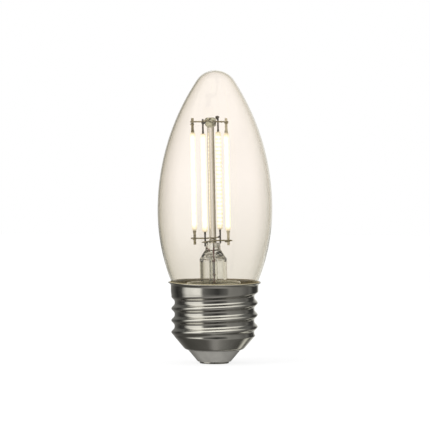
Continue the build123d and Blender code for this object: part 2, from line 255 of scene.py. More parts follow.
nickel = worn_surface(
    "nickel_plate",
    dark=(0.60, 0.59, 0.56),
    light=(0.70, 0.69, 0.66),
    scale=150.0,
    metallic=1.0,
    rough=(0.08, 0.16),
)
support_wire = worn_surface(
    "support_wire",
    dark=(0.22, 0.19, 0.11),
    light=(0.42, 0.37, 0.24),
    scale=700.0,
    metallic=1.0,
    rough=(0.25, 0.45),
    bump=0.2,
)
tab_metal = worn_surface(
    "tab_metal",
    dark=(0.15, 0.125, 0.06),
    light=(0.36, 0.31, 0.17),
    scale=600.0,
    metallic=1.0,
    rough=(0.25, 0.5),
    bump=0.2,
)
# Painted shade: a darker copy of the tab metal for the tabs at the front and back
tab_shaded = worn_surface(
    "tab_shaded",
    dark=(0.022, 0.014, 0.007),
    light=(0.06, 0.042, 0.022),
    scale=600.0,
    metallic=0.2,
    rough=(0.6, 0.8),
    bump=0.2,
)
# Painted light: a lighter copy of the tab metal for the tabs on the right
tab_lit = worn_surface(
    "tab_lit",
    dark=(0.36, 0.32, 0.21),
    light=(0.68, 0.62, 0.46),
    scale=600.0,
    metallic=1.0,
    rough=(0.3, 0.5),
    bump=0.2,
)
seal_red = sealed_wire(
    "seal_wire_red",
    dark=(0.20, 0.055, 0.04),
    light=(0.36, 0.13, 0.09),
    below_seal_colour=(0.045, 0.025, 0.018),
    scale=600.0,
    metallic=0.4,
    rough=(0.4, 0.6),
)
outer_copper = worn_surface(
    "outer_lead_metal",
    dark=(0.16, 0.10, 0.07),
    light=(0.32, 0.20, 0.14),
    scale=500.0,
    metallic=0.9,
    rough=(0.35, 0.55),
)
insulator_grey = worn_surface(
    "insulator_grey",
    dark=(0.33, 0.32, 0.292),
    light=(0.40, 0.39, 0.355),
    scale=350.0,
    metallic=0.0,
    rough=(0.45, 0.6),
    bump=0.15,
    # The edge colour is painted shade on the sides of the insulator's cone
    edge=(0.10, 0.095, 0.085),
)
contact_metal = worn_surface(
    "contact_metal",
    dark=(0.35, 0.34, 0.31),
    light=(0.62, 0.61, 0.57),
    scale=500.0,
    metallic=1.0,
    rough=(0.2, 0.4),
    bump=0.2,
)
cement = worn_surface(
    "neck_cement",
    dark=(0.10, 0.08, 0.035),
    light=(0.24, 0.20, 0.10),
    scale=350.0,
    metallic=0.0,
    rough=(0.7, 0.9),
    bump=0.4,
)
# Painted highlight: a pale copy of the cement for its edge along the cap's lip
cement_painted_highlight = worn_surface(
    "cement_painted_highlight",
    dark=(0.38, 0.33, 0.20),
    light=(0.50, 0.44, 0.29),
    scale=500.0,
    metallic=0.0,
    rough=(0.5, 0.7),
    bump=0.3,
)
# Painted highlight: an opaque pale coat for the light caught on the flare's glass rim
rim_painted_highlight = worn_surface(
    "rim_painted_highlight",
    dark=(0.55, 0.53, 0.42),
    light=(0.78, 0.76, 0.64),
    scale=500.0,
    metallic=0.0,
    rough=(0.15, 0.3),
)
board = worn_surface(
    "board_laminate",
    dark=(0.62, 0.58, 0.45),
    light=(0.74, 0.70, 0.58),
    scale=300.0,
    metallic=0.0,
    rough=(0.5, 0.65),
)
moulded = worn_surface(
    "moulded_black",
    dark=(0.015, 0.015, 0.016),
    light=(0.04, 0.04, 0.042),
    scale=500.0,
    metallic=0.0,
    rough=(0.4, 0.6),
)
sleeve = worn_surface(
    "capacitor_sleeve",
    dark=(0.03, 0.035, 0.05),
    light=(0.06, 0.07, 0.09),
    scale=300.0,
    metallic=0.0,
    rough=(0.2, 0.3),
)
lacquer = worn_surface(
    "resistor_lacquer",
    dark=(0.14, 0.24, 0.19),
    light=(0.22, 0.34, 0.27),
    scale=400.0,
    metallic=0.0,
    rough=(0.25, 0.4),
)


# Glass

GLASS_STRETCH = 0.3
GLASS_EDGE_POWER = 3.0
TUBE_END = 31.0
PRESS_START = 32.0
FOLD_SCALE = 620.0


def pressed_folds(tree, depth):
    """The normal of glass with folds where it was pressed, smooth in the tube below."""
    pressed = share_between(tree, object_height(tree), TUBE_END * MM, PRESS_START * MM)
    folds = add_node(tree, "ShaderNodeTexNoise", {"Scale": FOLD_SCALE, "Detail": 0.6, "Roughness": 0.4})
    link(tree, object_place(tree), folds.inputs["Vector"])
    uneven = math_node(tree, "MULTIPLY", folds.outputs["Fac"], pressed)
    relief = add_node(tree, "ShaderNodeBump", {"Strength": 1.0, "Distance": depth})
    link(tree, uneven, relief.inputs["Height"])
    return relief.outputs[0]


def glass(name, thin, thick, edge, scale, deeper=None, folds=0.0):
    """Clear glass with a faint uneven tint that deepens edge-on.

    A deeper colour sets in between two heights. Folds make the glass uneven where it was pressed.
    """
    made, tree, out = new_material(name)
    tone = use_mottle(tree, thick, thin, scale, GLASS_STRETCH)
    body = tone.outputs["Color"]
    if deeper:
        body = use_height_tint(tree, body, *deeper)
    facing = tree.nodes.new("ShaderNodeLayerWeight")
    edge_on = math_node(tree, "POWER", facing.outputs["Facing"], GLASS_EDGE_POWER)
    shader = add_node(
        tree,
        "ShaderNodeBsdfPrincipled",
        {"Metallic": 0.0, "Roughness": 0.0, "IOR": 1.5, "Transmission Weight": 1.0},
    )
    link(tree, mix_colours(tree, edge_on, body, edge), shader.inputs["Base Color"])
    if folds:
        normal = pressed_folds(tree, folds)
        link(tree, normal, shader.inputs["Normal"])
        link(tree, normal, facing.inputs["Normal"])
    # Shadow rays pass straight through, so the glass casts only a faint shadow
    clear = add_node(tree, "ShaderNodeBsdfTransparent", {"Color": (*thin, 1.0)})
    path = tree.nodes.new("ShaderNodeLightPath")
    either = tree.nodes.new("ShaderNodeMixShader")
    link(tree, path.outputs["Is Shadow Ray"], either.inputs[0])
    link(tree, shader.outputs[0], either.inputs[1])
    link(tree, clear.outputs[0], either.inputs[2])
    link(tree, either.outputs[0], out.inputs["Surface"])
    return made


envelope_glass = glass(
    "envelope_glass",
    thin=(0.960, 0.921, 0.884),
    thick=(0.956, 0.916, 0.878),
    edge=(0.90, 0.88, 0.78),
    scale=60.0,
    deeper=((0.866, 0.838, 0.788), 57, 27),
)
stem_glass = glass(
    "stem_glass",
    thin=(0.98, 0.985, 0.97),
    thick=(0.95, 0.96, 0.94),
    edge=(0.42, 0.43, 0.30),
    scale=200.0,
    folds=0.6 * MM,
)
flare_glass = glass(
    "flare_glass",
    thin=(1.0, 1.0, 0.995),
    thick=(0.985, 0.985, 0.975),
    edge=(0.90, 0.90, 0.84),
    scale=200.0,
)
post_glass = glass(
    "post_glass",
    thin=(0.80, 0.775, 0.73),
    thick=(0.77, 0.74, 0.69),
    edge=(0.58, 0.56, 0.44),
    scale=300.0,
    deeper=((0.50, 0.50, 0.38), 71.6, 72.4),
)


# Glowing strips

CHIP_PITCH = 1.2
GAP_FACE_ON = 0.6
GAP_GAIN = 1.2
LIT_FROM = (40.3, 42.0)
LIT_TO = (70.3, 68.8)
PHOSPHOR_DARK = (0.50, 0.40, 0.22)
PHOSPHOR_LIGHT = (0.78, 0.72, 0.58)
PHOSPHOR_SCALE = 900.0
GLOW_STOPS = ((0.0, (0.80, 0.74, 0.58)), (0.4, (1.0, 0.96, 0.76)), (1.0, (1.0, 1.0, 0.97)))
GLOW_FRINGE = (0.72, 0.70, 0.48)
FRINGE_POWER = 0.6
GLOW_STRENGTH = (0.4, 1.2)
GLOW_MIRRORED = 0.2


def lit_level(tree, edge_on, between):
    """How brightly a place on a strip glows: 1 at a chip, less between chips, 0 at the unlit ends."""
    height = object_height(tree)
    wave = math_node(tree, "SINE", math_node(tree, "MULTIPLY", height, 2 * math.pi / (CHIP_PITCH * MM)))
    chips = range_of(tree, math_node(tree, "MULTIPLY_ADD", wave, 0.5, 0.5), between, 1.0)
    low = share_between(tree, height, LIT_FROM[0] * MM, LIT_FROM[1] * MM)
    high = share_between(tree, height, LIT_TO[0] * MM, LIT_TO[1] * MM)
    lit = math_node(tree, "MULTIPLY", low, high)
    # The gaps between chips show less where the coat is seen face-on
    side = math_node(tree, "MULTIPLY_ADD", edge_on, GAP_GAIN, GAP_FACE_ON, clamp=True)
    gap = math_node(tree, "MULTIPLY", math_node(tree, "SUBTRACT", 1.0, chips), side)
    return math_node(tree, "MULTIPLY", lit, math_node(tree, "SUBTRACT", 1.0, gap))


def glowing_phosphor(name, between):
    """Lit phosphor coat: white along the row of chips, duller at its sides, amber at the unlit ends.

    Between two chips the glow falls to the level given. Metal mirrors the glow only weakly.
    """
    made, tree, out = new_material(name)
    edge_on = tree.nodes.new("ShaderNodeLayerWeight").outputs["Facing"]
    level = lit_level(tree, edge_on, between)
    fringe = math_node(tree, "POWER", edge_on, FRINGE_POWER)
    glow = mix_colours(tree, fringe, ramp_colour(tree, level, GLOW_STOPS), GLOW_FRINGE)
    shader = add_node(tree, "ShaderNodeBsdfPrincipled", {"Roughness": 0.45})
    tone = use_mottle(tree, PHOSPHOR_DARK, PHOSPHOR_LIGHT, PHOSPHOR_SCALE)
    link(tree, tone.outputs["Color"], shader.inputs["Base Color"])
    link(tree, glow, shader.inputs["Emission Color"])
    path = tree.nodes.new("ShaderNodeLightPath")
    straight = math_node(tree, "SUBTRACT", 1.0, path.outputs["Is Transmission Ray"])
    mirrored = math_node(tree, "MULTIPLY", path.outputs["Is Glossy Ray"], straight)
    strength = range_of(tree, level, *GLOW_STRENGTH)
    dimmed = range_of(tree, mirrored, 1.0, GLOW_MIRRORED)
    link(tree, math_node(tree, "MULTIPLY", strength, dimmed), shader.inputs["Emission Strength"])
    link(tree, shader.outputs[0], out.inputs["Surface"])
    return made


phosphor = glowing_phosphor("glowing_phosphor", between=0.92)
chip_row = glowing_phosphor("glowing_chip_row", between=0.3)


# Materials on the solids

coats = {
    "glass_envelope": envelope_glass,
    "stem_flare": stem_glass,
    "exhaust_tube": stem_glass,
    "centre_post": post_glass,
    "cap_shell": nickel,
    "neck_cement": cement,
    "cap_insulator": insulator_grey,
    "end_contact": contact_metal,
    "driver_board": board,
    "bridge_rectifier": moulded,
    "driver_chip": moulded,
    "sense_resistor": moulded,
    "storage_capacitor": sleeve,
    "fuse_resistor": lacquer,
    "live_wire": outer_copper,
    "neutral_wire": outer_copper,
    "strip_back": chip_row,
    "tab_top_back": tab_shaded,
    "tab_top_front": tab_shaded,
    "tab_bottom_back": tab_shaded,
    "tab_bottom_front": tab_shaded,
    "tab_top_right": tab_lit,
    "tab_bottom_right": tab_lit,
}
kinds = {
    "strip_": phosphor,
    "tab_": tab_metal,
    "top_wire_": support_wire,
    "cross_wire_": support_wire,
    "inner_lead_": support_wire,
    "seal_wire_": seal_red,
    "outer_lead_": outer_copper,
}
for name, shown in nodes.items():
    coat = coats.get(name) or next(coat for start, coat in kinds.items() if name.startswith(start))
    shown.data.materials.clear()
    shown.data.materials.append(coat)


# Round pieces, in millimetres


def smooth(low, high, value):
    """A soft step: 0 at the low value, 1 at the high one."""
    part = min(max((value - low) / (high - low), 0.0), 1.0)
    return part * part * (3 - 2 * part)


def smooth_piece(name, points, faces):
    """A new object with a smooth mesh."""
    mesh = bpy.data.meshes.new(name)
    mesh.from_pydata(points, [], faces)
    mesh.polygons.foreach_set("use_smooth", [True] * len(faces))
    made = bpy.data.objects.new(name, mesh)
    bpy.context.scene.collection.objects.link(made)
    return made


def lathe_grid(name, rows, count, capped=False):
    """A mesh of rings, each a function of the angle that gives a radius and a height.

    The last ring joins the first, unless both ends are capped.
    """
    points = []
    for row in rows:
        for step in range(count):
            angle = 2 * math.pi * step / count
            radius, height = row(angle)
            points.append((radius * MM * math.cos(angle), radius * MM * math.sin(angle), height * MM))
    faces = []
    for line in range(len(rows) - 1 if capped else len(rows)):
        for step in range(count):
            after = (step + 1) % count
            low, high = line * count, (line + 1) % len(rows) * count
            faces.append((low + step, low + after, high + after, high + step))
    if capped:
        last = (len(rows) - 1) * count
        faces.append(tuple(range(count - 1, -1, -1)))
        faces.append(tuple(range(last, last + count)))
    return smooth_piece(name, points, faces)


def fixed(radius, height):
    """A plain round ring."""
    return lambda angle: (radius, height)


# Envelope as blown: one smooth wall of two arcs and a round nose, with the small mark of the closed tip

BULB = 17.45
WIDEST = 46.9
NOSE = 6.8
TOP = 89.3
NECK = 20.3
NECK_WALL = 0.7
BLOWN_WALL = 0.45
THINNING = (0.35, 0.9)
SHOULDER = 59.22
CLIMB = TOP - NOSE - WIDEST
FLANK = (BULB**2 + CLIMB**2 - NOSE**2) / (2 * (BULB - NOSE))
FLANK_END = math.atan2(CLIMB, FLANK - BULB)
SHOULDER_STEPS = 60
FLANK_STEPS = 90
NOSE_STEPS = 40
POLE = 0.001
TIP_X = -1.6
TIP_Y = -2.4
TIP_SPREAD = 0.75
TIP_DENT = 0.07


def envelope_row(radius, height, share):
    """A ring of the wall. Near the tip mark a share of the dent pushes the wall in."""
    def row(angle):
        away = math.hypot(radius * math.cos(angle) - TIP_X, radius * math.sin(angle) - TIP_Y)
        dent = TIP_DENT * math.exp(-((away / TIP_SPREAD) ** 2)) if height > TOP - NOSE else 0.0
        return radius, height - share * dent
    return row


def wall_rows(neck_inset, inset, dent_share):
    """Rings from the neck to the nose. The wall thins from the neck to where it was blown widest."""
    rows = []
    opening = math.asin((WIDEST - NECK) / (SHOULDER - neck_inset))
    for step in range(SHOULDER_STEPS):
        part = step / SHOULDER_STEPS
        arc = SHOULDER - neck_inset - (inset - neck_inset) * smooth(*THINNING, part)
        angle = opening * (1 - part)
        radius = BULB - SHOULDER + arc * math.cos(angle)
        rows.append(envelope_row(radius, WIDEST - arc * math.sin(angle), dent_share))
    arc = FLANK - inset
    for step in range(FLANK_STEPS):
        angle = FLANK_END * step / FLANK_STEPS
        radius = BULB - FLANK + arc * math.cos(angle)
        rows.append(envelope_row(radius, WIDEST + arc * math.sin(angle), dent_share))
    arc = NOSE - inset
    for step in range(NOSE_STEPS + 1):
        angle = FLANK_END + (math.pi / 2 - FLANK_END) * step / NOSE_STEPS
        radius = max(arc * math.cos(angle), POLE)
        rows.append(envelope_row(radius, TOP - NOSE + arc * math.sin(angle), dent_share))
    return rows


def blown_envelope():
    """The wall's outside from the neck to the nose, then its inside from the nose back to the neck."""
    outside = wall_rows(neck_inset=0.0, inset=0.0, dent_share=1.0)
    inside = wall_rows(neck_inset=NECK_WALL, inset=BLOWN_WALL, dent_share=0.4)
    return lathe_grid("blown_envelope", outside + inside[::-1], count=224)


bulb = blown_envelope()
bulb.data.materials.append(envelope_glass)
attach(bulb, "root")
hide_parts("glass_envelope")


# The leaning stem

LEAN = math.radians(1.4)
STEM_UP = Vector((-math.sin(LEAN), 0, math.cos(LEAN)))
STEM_SIDE = Vector((math.cos(LEAN), 0, math.sin(LEAN)))
STEM_BACK = Vector((0, 1, 0))
STEM_AT_NECK = Vector((-0.2, 0, NECK))
STEM_FOOT = STEM_AT_NECK - NECK * STEM_UP


def stem_point(across, back, height):
    """A point in the frame of the leaning stem, in metres."""
    return (STEM_FOOT + across * STEM_SIDE + back * STEM_BACK + height * STEM_UP) * MM


def lean_with_stem(piece):
    """Moves the points of an upright mesh into the frame of the leaning stem."""
    for vertex in piece.data.vertices:
        vertex.co = stem_point(*(vertex.co / MM))


# Post with its button

POST_R = 1.1
POST_FOOT = 36.6
POST_EDGE = 0.05
POST_TOP = 71.9
POST_STEPS = 24
POST_POLE = 0.002
FILLET = ((1.13, 72.0, 0.01), (1.2, 72.03, 0.02))
BUTTON_R = 1.75
BUTTON_ROUND = 0.9
BUTTON_LOW = 72.9
BUTTON_HIGH = 74.0
BUTTON_FLAT = 0.4
ROUND_STEPS = 8
SIDE_STEPS = 6
PINCH = 0.09
BROAD_FOLDS = 3
BROAD_TWIST = 2.1
NARROW_FOLDS = 5
NARROW_TWIST = 3.3
NARROW_TURN = 1.0
NARROW_SHARE = 0.6


def crumpled_row(radius, height, depth):
    """A ring of the button, with the folds of the pinched hot glass."""
    def row(angle):
        broad = math.sin(BROAD_FOLDS * angle + BROAD_TWIST * height)
        narrow = NARROW_SHARE * math.sin(NARROW_FOLDS * angle - NARROW_TWIST * height + NARROW_TURN)
        return radius + depth * (broad + narrow), height
    return row


def post_and_button():
    """Glass rod drawn out of the press, with the button pinched round the top wires."""
    start = POST_FOOT + POST_EDGE
    rows = [fixed(POST_POLE, POST_FOOT), fixed(POST_R - POST_EDGE, POST_FOOT)]
    for step in range(POST_STEPS + 1):
        rows.append(fixed(POST_R, start + (POST_TOP - start) * step / POST_STEPS))
    rows += [crumpled_row(*ring) for ring in FILLET]
    core = BUTTON_R - BUTTON_ROUND
    quarter = [math.pi / 2 * step / ROUND_STEPS for step in range(1, ROUND_STEPS + 1)]
    for step, angle in enumerate(quarter, 1):
        radius = core + BUTTON_ROUND * math.sin(angle)
        height = BUTTON_LOW - BUTTON_ROUND * math.cos(angle)
        rows.append(crumpled_row(radius, height, PINCH * step / ROUND_STEPS))
    for step in range(1, SIDE_STEPS + 1):
        height = BUTTON_LOW + (BUTTON_HIGH - BUTTON_LOW) * step / SIDE_STEPS
        rows.append(crumpled_row(BUTTON_R, height, PINCH))
    for step, angle in enumerate(quarter, 1):
        radius = core + BUTTON_ROUND * math.cos(angle)
        height = BUTTON_HIGH + BUTTON_ROUND * math.sin(angle)
        rows.append(crumpled_row(radius, height, PINCH * (1 - step / ROUND_STEPS)))
    rows += [fixed(radius, BUTTON_HIGH + BUTTON_ROUND) for radius in (BUTTON_FLAT, POST_POLE)]
    made = lathe_grid("pinched_post", rows, count=64, capped=True)
    lean_with_stem(made)
    return made


post = post_and_button()
post.data.materials.append(post_glass)
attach(post, "root")
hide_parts("centre_post")


# Weld beads on the tabs

STRIPS_TURN = math.radians(-20)
# Reach from the stem, azimuth in degrees and height
TAB_HEADS = ((5.2, 0, 73.3), (5.6, 90, 74.7), (6.0, 180, 72.8), (5.6, 270, 73.6))
TAB_FEET = ((5.2, 0, 37.2), (5.6, 90, 38.0), (6.0, 180, 37.7), (5.6, 270, 37.2))
# Place in the stem's frame, then half the width, depth and height
WIRE_ENDS = (
    (3.4, -1.3, 73.55, 0.45, 0.25, 0.25),
    (-2.7, -5.2, 37.2, 0.70, 0.18, 0.20),
    (4.1, -1.9, 36.95, 0.55, 0.18, 0.20),
)
BEAD_SIZE = 0.62
BEAD_LESS = 0.05
BEAD_HEIGHT = 0.7
BEAD_ASIDE = 0.2
BEAD_AHEAD = 0.25
BEAD_UNEVEN = 0.18
BEAD_POLE = 0.01
BEAD_RINGS = 8
BEAD_STEPS = 16


def bead_lumps():
    """Place, size and material of each lump: the beads on the tabs, then the ends of wire."""
    lumps = []
    for index, (reach, azimuth, height) in enumerate(TAB_HEADS + TAB_FEET):
        angle = STRIPS_TURN + math.radians(azimuth)
        side = angle - math.pi / 2
        x = reach * math.cos(angle) + BEAD_ASIDE * math.cos(side)
        y = reach * math.sin(angle) + BEAD_ASIDE * math.sin(side) - BEAD_AHEAD
        size = BEAD_SIZE - BEAD_LESS * (index % 3)
        # Beads on the back and front tabs take the darker tab copy, which is painted shade
        lumps.append((x, y, height, size, size, BEAD_HEIGHT * size, index % 2))
    return lumps + [(*wire_end, 0) for wire_end in WIRE_ENDS]


def weld_beads():
    """Beads of melted metal where the tabs are welded to the wires, and short ends of wire."""
    points, faces, shaded = [], [], []
    for index, (x, y, height, wide, deep, tall, shade) in enumerate(bead_lumps()):
        base = len(points)
        for ring in range(BEAD_RINGS + 1):
            lift = math.pi * (ring / BEAD_RINGS - 0.5)
            for step in range(BEAD_STEPS):
                spin = 2 * math.pi * step / BEAD_STEPS
                swell = max(math.cos(lift), BEAD_POLE) * (1 + BEAD_UNEVEN * math.sin(2 * spin + index))
                across = x + wide * swell * math.cos(spin)
                back = y + deep * swell * math.sin(spin)
                points.append(stem_point(across, back, height + tall * math.sin(lift)))
        for ring in range(BEAD_RINGS):
            low = base + ring * BEAD_STEPS
            high = low + BEAD_STEPS
            for step in range(BEAD_STEPS):
                after = (step + 1) % BEAD_STEPS
                faces.append((low + step, low + after, high + after, high + step))
        last = base + BEAD_RINGS * BEAD_STEPS
        faces.append(tuple(range(base + BEAD_STEPS - 1, base - 1, -1)))
        faces.append(tuple(range(last, last + BEAD_STEPS)))
        shaded += [shade] * (len(faces) - len(shaded))
    made = smooth_piece("weld_beads", points, faces)
    made.data.materials.append(tab_metal)
    # The second material is the darker tab copy: painted shade
    made.data.materials.append(tab_shaded)
    made.data.polygons.foreach_set("material_index", shaded)
    return made


beads = weld_beads()
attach(beads, "root")


# Screw cap with the round thread that a roller leaves in thin sheet

PITCH = 3.629
CREST = 13.15
DEPTH = 1.0
GROOVE_POWER = 1.55
GROOVE_TOP = 20.3
RUNOUT = 0.3 * 2 * math.pi
THREAD_TOP = 22.6
SKIRT = 13.32
SKIRT_START = 20.5
SKIRT_FULL = 22.2
SHEET = 0.3
EDGE = 0.05
OPENING = 8.09
CONE = math.radians(40)
CONE_TOP = 9.3
CONE_BLEND = 0.2
SLANT = math.pi / 2 - CONE
FOOT_Z = 4.1
FOOT_R = CREST - (CONE_TOP - FOOT_Z) * math.tan(CONE)
CURL = 1.9
CURL_R = FOOT_R - CURL * math.tan(SLANT / 2)
CURL_Z = FOOT_Z + CURL
LIP_R = 1.0
LIP_Z = 23.54
LIP_OUT = 14.05
LIP_END = math.acos(1 - (LIP_OUT - SKIRT) / LIP_R)
THREAD_STEPS = 150
INNER_STEPS = 75
CURL_STEPS = 8
LIP_STEPS = 10
RIM_STEPS = 8
INNER_LIP_STEPS = 6


def thread_radius(angle, height):
    """Radius of the threaded sheet.

    The grooves are broad and round, the crests narrow and round, and the groove runs out on top.
    """
    turn = round((height - GROOVE_TOP) / PITCH - angle / (2 * math.pi))
    climb = angle + 2 * math.pi * turn
    if climb > RUNOUT:
        climb -= 2 * math.pi
    fade = 1 - smooth(0, RUNOUT, climb)
    away = min(abs(height - GROOVE_TOP - PITCH * climb / (2 * math.pi)) / (PITCH / 2), 1.0)
    wave = ((1 - math.cos(math.pi * away)) / 2) ** GROOVE_POWER
    plain = CREST + (SKIRT - CREST) * smooth(SKIRT_START, SKIRT_FULL, height)
    threaded = plain - DEPTH * fade * (1 - wave)
    cone = FOOT_R + (height - FOOT_Z) * math.tan(CONE)
    share = min(max(0.5 + (threaded - cone) / (2 * CONE_BLEND), 0.0), 1.0)
    return threaded + (cone - threaded) * share - CONE_BLEND * share * (1 - share)


def sheet_row(height, inset=0.0):
    """A ring of the threaded sheet, or of a surface inside it."""
    return lambda angle: (thread_radius(angle, height) - inset, height)


def curl_row(radius, angle):
    """A ring of the foot's curl, at an angle from straight down."""
    return fixed(CURL_R + radius * math.sin(angle), CURL_Z - radius * math.cos(angle))


def lip_row(radius, angle):
    """A ring of the flared lip, at an angle from the skirt's top."""
    return fixed(SKIRT + LIP_R - radius * math.cos(angle), LIP_Z + radius * math.sin(angle))


def rolled_cap():
    """The sheet's outside from the foot to the lip, the lip's rim, and the inside back to the foot."""
    begin = math.asin((OPENING + EDGE - CURL_R) / CURL)
    foot = CURL_Z - CURL * math.cos(begin)
    curl = [begin + (SLANT - begin) * step / CURL_STEPS for step in range(CURL_STEPS + 1)]
    rows = [fixed(OPENING, foot + SHEET), fixed(OPENING, foot + EDGE)]
    rows += [curl_row(CURL, angle) for angle in curl]
    start = CURL_Z - CURL * math.cos(SLANT)
    for step in range(1, THREAD_STEPS + 1):
        rows.append(sheet_row(start + (THREAD_TOP - start) * step / THREAD_STEPS))
    rows += [lip_row(LIP_R, LIP_END * step / LIP_STEPS) for step in range(LIP_STEPS + 1)]
    middle = LIP_R + SHEET / 2
    rim_r = SKIRT + LIP_R - middle * math.cos(LIP_END)
    rim_z = LIP_Z + middle * math.sin(LIP_END)
    for step in range(1, RIM_STEPS):
        angle = LIP_END - math.pi * step / RIM_STEPS
        rows.append(fixed(rim_r + SHEET / 2 * math.cos(angle), rim_z - SHEET / 2 * math.sin(angle)))
    for step in range(INNER_LIP_STEPS, -1, -1):
        rows.append(lip_row(LIP_R + SHEET, LIP_END * step / INNER_LIP_STEPS))
    inner_end = CURL_Z - (CURL - SHEET) * math.cos(SLANT)
    for step in range(INNER_STEPS + 1):
        height = SKIRT_FULL + (inner_end - SKIRT_FULL) * step / INNER_STEPS
        rows.append(sheet_row(height, SHEET))
    rows += [curl_row(CURL - SHEET, angle) for angle in reversed(curl)]
    return lathe_grid("rolled_cap", rows, count=192)


cap = rolled_cap()
cap.data.materials.append(nickel)
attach(cap, "root")
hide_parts("cap_shell")


# Pale edge of the cement: its pale colour is a painted highlight

CEMENT_FOOT = 24.52
CEMENT_PROFILE = (
    (13.74, CEMENT_FOOT),
    (13.72, 24.80),
    (13.60, 24.90),
    (13.44, 24.93),
    (13.30, 24.88),
    (13.28, CEMENT_FOOT),
)


def cement_edge():
    """Pale edge of the cement, drawn up between the cap's lip and the glass. Its pale colour, lighter
    than the cement below, is a painted highlight.
    """
    return lathe_grid("cement_edge", [fixed(*point) for point in CEMENT_PROFILE], count=128)


edge_ring = cement_edge()
edge_ring.data.materials.append(cement_painted_highlight)
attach(edge_ring, "root")


# Foot of the stem's flare

FLARE_R = 8.0
FLARE_Z = 24.45
COLLAR_R = 5.3
COLLAR_Z = 23.7
COLLAR_WALL = 0.2
COLLAR_TOP = FLARE_Z - 0.02
RIM_R = 0.36
RIM_SIDES = 12
FLARE_COUNT = 96


def flare_collar():
    """Dished foot of the stem's flare."""
    profile = (
        (COLLAR_R, COLLAR_Z),
        (FLARE_R, COLLAR_TOP - COLLAR_WALL),
        (FLARE_R, COLLAR_TOP),
        (COLLAR_R, COLLAR_Z + COLLAR_WALL),
    )
    return lathe_grid("flare_collar", [fixed(*point) for point in profile], FLARE_COUNT)


def flare_rim():
    """Bead of fused glass round the edge of the flare, in an opaque pale coat that is a painted
    highlight.
    """
    turns = [2 * math.pi * step / RIM_SIDES for step in range(RIM_SIDES)]
    rows = [fixed(FLARE_R + RIM_R * math.cos(turn), FLARE_Z + RIM_R * math.sin(turn)) for turn in turns]
    return lathe_grid("flare_rim", rows, FLARE_COUNT)


for flare_piece, flare_coat in ((flare_collar(), flare_glass), (flare_rim(), rim_painted_highlight)):
    lean_with_stem(flare_piece)
    flare_piece.data.materials.append(flare_coat)
    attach(flare_piece, "root")


# Studio: white ground, one soft lamp on the left, and a surround with soft panels

# A stop is a turn round the lamp: 0 and 1 behind it, 0.25 on its left, 0.5 in front, 0.75 on its right
ROOM_STOPS = (
    (0.0, (0.9, 0.89, 0.84)),
    (0.015, (0.28, 0.274, 0.255)),
    (0.06, (0.2, 0.196, 0.182)),
    (0.12, (0.11, 0.108, 0.1)),
    (0.17, (0.035, 0.0343, 0.0319)),
    (0.226, (0.065, 0.064, 0.059)),
    (0.254, (0.52, 0.51, 0.473)),
    (0.275, (0.88, 0.862, 0.801)),
    (0.36, (1.13, 1.11, 1.03)),
    (0.39, (1.1, 1.08, 1)),
    (0.413, (0.18, 0.176, 0.164)),
    (0.45, (0.12, 0.118, 0.109)),
    (0.52, (0.042, 0.0412, 0.0382)),
    (0.59, (0.15, 0.147, 0.137)),
    (0.61, (0.28, 0.274, 0.255)),
    (0.7, (0.23, 0.225, 0.209)),
    (0.77, (0.135, 0.132, 0.123)),
    (0.80, (0.175, 0.172, 0.16)),
    (0.84, (0.045, 0.0441, 0.041)),
    (0.91, (0.06, 0.059, 0.055)),
    (0.95, (0.5, 0.49, 0.455)),
    (0.975, (0.8, 0.785, 0.73)),
    (1.0, (0.9, 0.89, 0.84)),
)
GROUND_STOPS = (
    (0.0, (0.22, 0.215, 0.20)),
    (0.05, (0.15, 0.145, 0.135)),
    (0.12, (0.07, 0.068, 0.06)),
    (0.28, (0.12, 0.115, 0.105)),
    (0.41, (0.29, 0.28, 0.265)),
    (0.60, (0.34, 0.33, 0.31)),
    (0.74, (0.20, 0.195, 0.18)),
    (0.87, (0.07, 0.068, 0.06)),
    (0.895, (0.80, 0.78, 0.68)),
    (0.92, (0.10, 0.097, 0.085)),
    (0.96, (0.14, 0.135, 0.125)),
    (1.0, (0.22, 0.215, 0.20)),
)
OVERHEAD_STOPS = (
    (0.0, (0.12, 0.12, 0.11)),
    (0.21, (0.12, 0.12, 0.11)),
    (0.25, (1.2, 1.17, 1.08)),
    (0.64, (1.2, 1.17, 1.08)),
    (0.75, (0.85, 0.83, 0.76)),
    (0.82, (0.15, 0.15, 0.14)),
    (1.0, (0.12, 0.12, 0.11)),
)
BEYOND_STOPS = (
    (0.0, (1.13, 1.13, 1.13)),
    (0.005, (1.10, 1.10, 1.09)),
    (0.0095, (1.03, 1.02, 1.0)),
    (0.02, (0.94, 0.92, 0.88)),
    (0.035, (0.77, 0.75, 0.68)),
    (0.055, (0.42, 0.40, 0.32)),
    (0.10, (0.13, 0.12, 0.08)),
    (0.17, (0.11, 0.105, 0.07)),
    (0.215, (0.95, 0.93, 0.88)),
    (0.25, (1.10, 1.10, 1.09)),
    (0.75, (1.10, 1.10, 1.09)),
    (0.79, (0.92, 0.90, 0.83)),
    (0.92, (0.96, 0.94, 0.87)),
    (0.965, (0.94, 0.92, 0.87)),
    (0.98, (1.02, 1.01, 0.98)),
    (0.9905, (1.10, 1.10, 1.09)),
    (0.995, (1.13, 1.13, 1.13)),
    (1.0, (1.13, 1.13, 1.13)),
)
# Spans of a direction's rise, from -1 straight down to 1 straight up
GROUND_SPAN = (-0.25, -0.5)
OVERHEAD_SPAN = (0.42, 0.62)
ABOVE_SPAN = (0.08, 0.45)
BELOW_SPAN = (-0.15, -0.4)
ABOVE_GLASS = (0.62, 0.60, 0.51)
BELOW_GLASS = (1.08, 1.08, 1.06)
SURROUND = (1.06, 1.06, 1.06)
BACKDROP = (1.0, 1.0, 1.0)
LAMP_MIDDLE = Vector((0, 0, 0.045))


